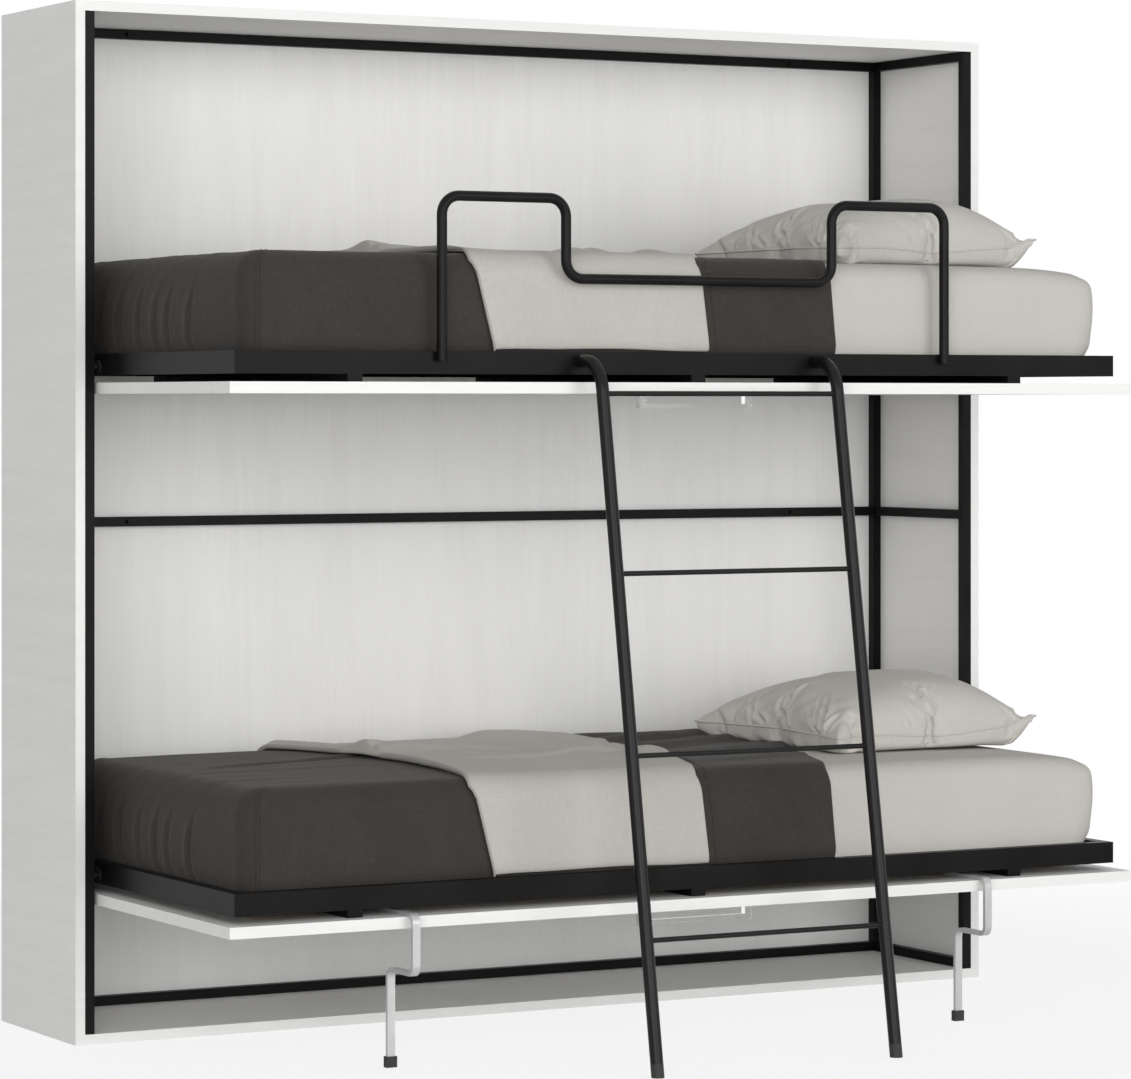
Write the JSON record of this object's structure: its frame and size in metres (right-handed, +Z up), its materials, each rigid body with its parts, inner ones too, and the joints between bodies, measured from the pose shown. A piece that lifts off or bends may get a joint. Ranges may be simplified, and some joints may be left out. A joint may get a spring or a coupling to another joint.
{
  "type": "folding wall bunk bed",
  "caption": "Tall shallow wall cabinet whose long front panels fold down as bunk beds, with slatted steel frames, made-up bedding, a bent guard rail, a hook-on ladder and swing legs.",
  "frame": {"origin": "centre of the cabinet's footprint on the floor", "axes": "+X along the beds towards the pillow end, +Y back to the wall, +Z up"},
  "size_m": [2.122, 1.3467, 2.06],
  "materials": {
    "white_board": "white wood-grain melamine, matt",
    "black_steel": "satin black powder coat",
    "leg_steel": "silver grey",
    "zinc_steel": "black zinc plated",
    "strut_black": "black",
    "strut_chrome": "polished",
    "slat_wood": "bare birch",
    "bush_nylon": "black nylon",
    "clear_acrylic": "clear",
    "black_rubber": "matt",
    "sheet_cloth": "pale warm grey weave",
    "dark_cloth": "charcoal weave",
    "throw_cloth": "pale warm grey coarse weave"
  },
  "bodies": {
    "cabinet": {"bottom_board": "white_board", "top_board": "white_board", "lower_left_side": "white_board", "lower_right_side": "white_board", "upper_left_side": "white_board", "upper_right_side": "white_board", "lower_back_panel": "white_board", "upper_back_panel": "white_board", "front_posts": "black_steel", "back_posts": "black_steel", "back_rails": "black_steel", "end_frame_rails": "black_steel", "pivot_plates": "zinc_steel", "pivot_pins": "zinc_steel", "strut_pins": "zinc_steel", "stop_brackets": "zinc_steel"},
    "ladder": {"ladder_left_stile": "black_steel", "ladder_right_stile": "black_steel", "ladder_rungs": "black_steel", "ladder_feet": "black_rubber"},
    "guard": {"guard_rail": "black_steel"},
    "left_leg": {"left_leg": "leg_steel", "left_leg_cap": "black_rubber"},
    "right_leg": {"right_leg": "leg_steel", "right_leg_cap": "black_rubber"},
    "lower_bed": {"lower_front_panel": "white_board", "lower_front_rail": "black_steel", "lower_rear_rail": "black_steel", "lower_end_rails": "black_steel", "lower_cross_bars": "black_steel", "lower_slats": "slat_wood", "lower_pivot_bushes": "bush_nylon", "lower_handle": "clear_acrylic", "lower_mattress": "sheet_cloth", "lower_cover": "dark_cloth", "lower_throw": "throw_cloth", "lower_pillow": "sheet_cloth", "leg_brackets": "leg_steel"},
    "upper_bed": {"upper_front_panel": "white_board", "upper_front_rail": "black_steel", "upper_rear_rail": "black_steel", "upper_end_rails": "black_steel", "upper_cross_bars": "black_steel", "upper_slats": "slat_wood", "upper_pivot_bushes": "bush_nylon", "upper_handle": "clear_acrylic", "upper_mattress": "sheet_cloth", "upper_cover": "dark_cloth", "upper_throw": "throw_cloth", "upper_pillow": "sheet_cloth"},
    "lower_left_barrel": {"lower_left_strut_barrel": "strut_black"},
    "lower_left_rod": {"lower_left_strut_rod": "strut_chrome"},
    "lower_right_barrel": {"lower_right_strut_barrel": "strut_black"},
    "lower_right_rod": {"lower_right_strut_rod": "strut_chrome"},
    "upper_left_barrel": {"upper_left_strut_barrel": "strut_black"},
    "upper_left_rod": {"upper_left_strut_rod": "strut_chrome"},
    "upper_right_barrel": {"upper_right_strut_barrel": "strut_black"},
    "upper_right_rod": {"upper_right_strut_rod": "strut_chrome"}
  },
  "joints": [
    {"name": "lower_fold", "type": "hinge", "parent": "cabinet", "child": "lower_bed", "pos_m": [0, -0.151, 0.327], "axis": [-1, 0, 0], "range_deg": [0, 90], "deforming": ["lower_pillow"]},
    {"name": "lower_left_strut_swing", "type": "hinge", "parent": "cabinet", "child": "lower_left_barrel", "pos_m": [-1.0265, -0.071, 0.507], "axis": [-1, 0, 0], "range_deg": [0, 16.84]},
    {"name": "lower_left_strut_stroke", "type": "slide", "parent": "lower_left_barrel", "child": "lower_left_rod", "axis": [0, -0.0526, -0.9986], "range_m": [0, 0.07554]},
    {"name": "lower_right_strut_swing", "type": "hinge", "parent": "cabinet", "child": "lower_right_barrel", "pos_m": [1.0265, -0.071, 0.507], "axis": [-1, 0, 0], "range_deg": [0, 16.84]},
    {"name": "lower_right_strut_stroke", "type": "slide", "parent": "lower_right_barrel", "child": "lower_right_rod", "axis": [0, -0.0526, -0.9986], "range_m": [0, 0.07554]},
    {"name": "upper_fold", "type": "hinge", "parent": "cabinet", "child": "upper_bed", "pos_m": [0, -0.151, 1.337], "axis": [-1, 0, 0], "range_deg": [0, 90], "deforming": ["upper_pillow"]},
    {"name": "upper_left_strut_swing", "type": "hinge", "parent": "cabinet", "child": "upper_left_barrel", "pos_m": [-1.0265, -0.071, 1.517], "axis": [-1, 0, 0], "range_deg": [0, 16.84]},
    {"name": "upper_left_strut_stroke", "type": "slide", "parent": "upper_left_barrel", "child": "upper_left_rod", "axis": [0, -0.0526, -0.9986], "range_m": [0, 0.07554]},
    {"name": "upper_right_strut_swing", "type": "hinge", "parent": "cabinet", "child": "upper_right_barrel", "pos_m": [1.0265, -0.071, 1.517], "axis": [-1, 0, 0], "range_deg": [0, 16.84]},
    {"name": "upper_right_strut_stroke", "type": "slide", "parent": "upper_right_barrel", "child": "upper_right_rod", "axis": [0, -0.0526, -0.9986], "range_m": [0, 0.07554]},
    {"name": "ladder_lift_off", "type": "hinge", "parent": "cabinet", "child": "ladder", "pos_m": [0, -1.14298, 0], "axis": [1, 0, 0], "range_deg": [0, 99.1]},
    {"name": "guard_lift_off", "type": "hinge", "parent": "cabinet", "child": "guard", "pos_m": [0, -1.14298, 0], "axis": [1, 0, 0], "range_deg": [0, 100.1]},
    {"name": "left_leg_turn", "type": "hinge", "parent": "lower_bed", "child": "left_leg", "pos_m": [-0.6435, -0.8275, 0.188], "axis": [0, -1, 0], "range_deg": [0, 90]},
    {"name": "right_leg_turn", "type": "hinge", "parent": "lower_bed", "child": "right_leg", "pos_m": [0.6435, -0.8275, 0.188], "axis": [0, 1, 0], "range_deg": [0, 90]}
  ],
  "couplings": [
    {"joint": "lower_left_strut_swing", "follows": "lower_fold", "ratio": 0.18651},
    {"joint": "lower_left_strut_stroke", "follows": "lower_fold", "m_per_rad": 0.048029},
    {"joint": "lower_right_strut_swing", "follows": "lower_fold", "ratio": 0.18651},
    {"joint": "lower_right_strut_stroke", "follows": "lower_fold", "m_per_rad": 0.048029},
    {"joint": "upper_left_strut_swing", "follows": "upper_fold", "ratio": 0.18651},
    {"joint": "upper_left_strut_stroke", "follows": "upper_fold", "m_per_rad": 0.048029},
    {"joint": "upper_right_strut_swing", "follows": "upper_fold", "ratio": 0.18651},
    {"joint": "upper_right_strut_stroke", "follows": "upper_fold", "m_per_rad": 0.048029},
    {"joint": "ladder_lift_off", "follows": "upper_fold", "ratio": 1.1},
    {"joint": "guard_lift_off", "follows": "upper_fold", "ratio": 1.1111}
  ]
}
